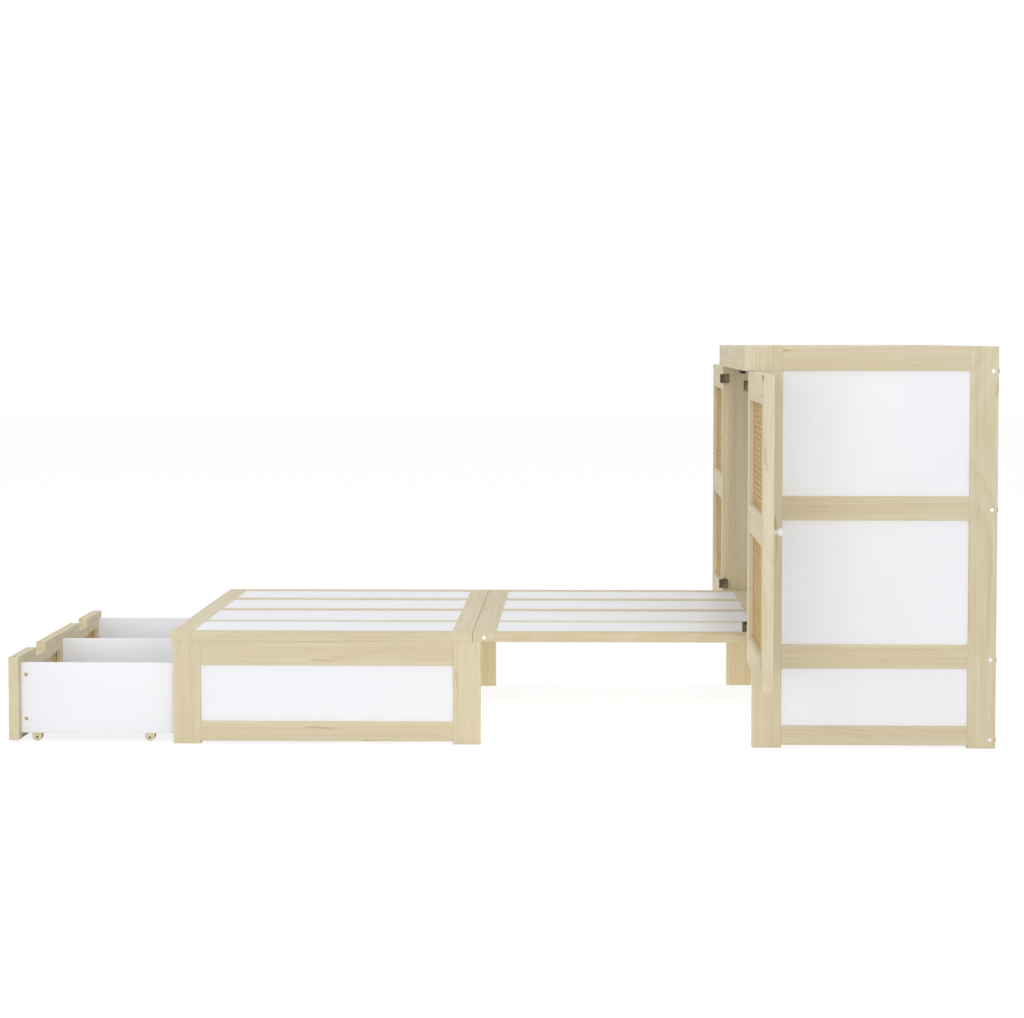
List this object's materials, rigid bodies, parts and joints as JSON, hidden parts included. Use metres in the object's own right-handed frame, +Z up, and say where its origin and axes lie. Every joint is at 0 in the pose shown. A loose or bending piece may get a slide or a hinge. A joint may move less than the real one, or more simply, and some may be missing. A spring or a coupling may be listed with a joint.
{
  "type": "wall bed",
  "caption": "Cabinet bed unfolded: panelled cabinet with cane doors swung out, folding slab deck on a leg box, and a rolling drawer pulled out at the foot.",
  "frame": {"origin": "on the floor at the centre of the unfolded bed's bounding box", "axes": "+Z up, +Y towards the wall behind the cabinet, -Y towards the foot and the drawer, +X to the right of a person facing the wall"},
  "size_m": [2.625, 2.5666, 1.036],
  "materials": {
    "pine": "satin clear lacquer",
    "white_board": "white painted board",
    "woven_cane": "woven cane webbing",
    "bronzed_steel": "dark bronze",
    "hinge_brass": "satin",
    "plated_steel": "zinc plated",
    "white_knob": "gloss",
    "grey_plastic": "matt"
  },
  "bodies": {
    "cabinet": {"cabinet_front_post_left": "pine", "cabinet_front_post_right": "pine", "cabinet_back_post_left": "pine", "cabinet_back_post_right": "pine", "cabinet_side_rails": "pine", "cabinet_side_panels": "white_board", "cabinet_top": "pine", "cabinet_bolts_and_screws": "plated_steel", "back_post_nuts": "plated_steel", "back_frame": "pine", "back_panels": "white_board", "header_board": "pine", "header_blocks": "pine", "head_deck_frame": "pine", "head_deck_panels": "white_board", "head_deck_hinges": "hinge_brass", "head_deck_ledges": "pine", "door_hinge_arms": "bronzed_steel", "door_catches": "grey_plastic"},
    "middle_section": {"middle_deck_cross_rails": "pine", "middle_deck_long_rails": "pine", "middle_deck_separators": "pine", "middle_deck_panels": "white_board", "middle_deck_hinges": "hinge_brass", "middle_deck_nuts": "plated_steel"},
    "foot_section": {"foot_deck_cross_rails": "pine", "foot_deck_long_rails": "pine", "foot_deck_separators": "pine", "foot_deck_panels": "white_board", "foot_deck_hinges": "hinge_brass", "leg_posts": "pine", "leg_side_rails": "pine", "leg_side_panels": "white_board", "leg_end_rails": "pine", "drawer_guides": "pine"},
    "left_door": {"door_stiles_left": "pine", "door_rails_left": "pine", "door_cane_left": "woven_cane", "door_knob_left": "white_knob", "door_strike_left": "bronzed_steel", "door_hinge_leaves_left": "bronzed_steel", "door_hinge_pins_left": "bronzed_steel"},
    "right_door": {"door_stiles_right": "pine", "door_rails_right": "pine", "door_cane_right": "woven_cane", "door_knob_right": "white_knob", "door_strike_right": "bronzed_steel", "door_hinge_leaves_right": "bronzed_steel", "door_hinge_pins_right": "bronzed_steel"},
    "drawer": {"drawer_top_rail": "pine", "drawer_front_frame": "pine", "drawer_cane": "woven_cane", "drawer_sides": "white_board", "drawer_back_and_divider": "white_board", "drawer_floor": "white_board", "drawer_cams": "plated_steel", "roller_cheeks": "pine", "roller_axles": "bronzed_steel"},
    "front_rollers": {"front_rollers": "grey_plastic"},
    "rear_rollers": {"rear_rollers": "grey_plastic"}
  },
  "joints": [
    {"name": "middle_fold", "type": "hinge", "parent": "cabinet", "child": "middle_section", "pos_m": [0, 0.73015, 0.292], "axis": [-1, 0, 0], "range_deg": [0, 55]},
    {"name": "foot_fold", "type": "hinge", "parent": "middle_section", "child": "foot_section", "pos_m": [0, -0.06935, 0.292], "axis": [-1, 0, 0], "range_deg": [0, 180]},
    {"name": "left_door_swing", "type": "hinge", "parent": "cabinet", "child": "left_door", "pos_m": [-0.657, 0.64715, 0.623], "axis": [0, 0, 1], "range_deg": [0, 90]},
    {"name": "right_door_swing", "type": "hinge", "parent": "cabinet", "child": "right_door", "pos_m": [0.657, 0.64715, 0.623], "axis": [0, 0, -1], "range_deg": [0, 90]},
    {"name": "drawer_slide", "type": "slide", "parent": "cabinet", "child": "drawer", "axis": [0, 1, 0], "range_m": [0, 0.4055]},
    {"name": "front_roller_spin", "type": "hinge", "parent": "drawer", "child": "front_rollers", "pos_m": [0, -1.21635, 0.0104], "axis": [-1, 0, 0], "range_deg": [-5, 2245]},
    {"name": "rear_roller_spin", "type": "hinge", "parent": "drawer", "child": "rear_rollers", "pos_m": [0, -0.91885, 0.0104], "axis": [-1, 0, 0], "range_deg": [-5, 2245]}
  ],
  "couplings": [
    {"joint": "front_roller_spin", "follows": "drawer_slide", "rad_per_m": 96.154},
    {"joint": "rear_roller_spin", "follows": "drawer_slide", "rad_per_m": 96.154}
  ]
}
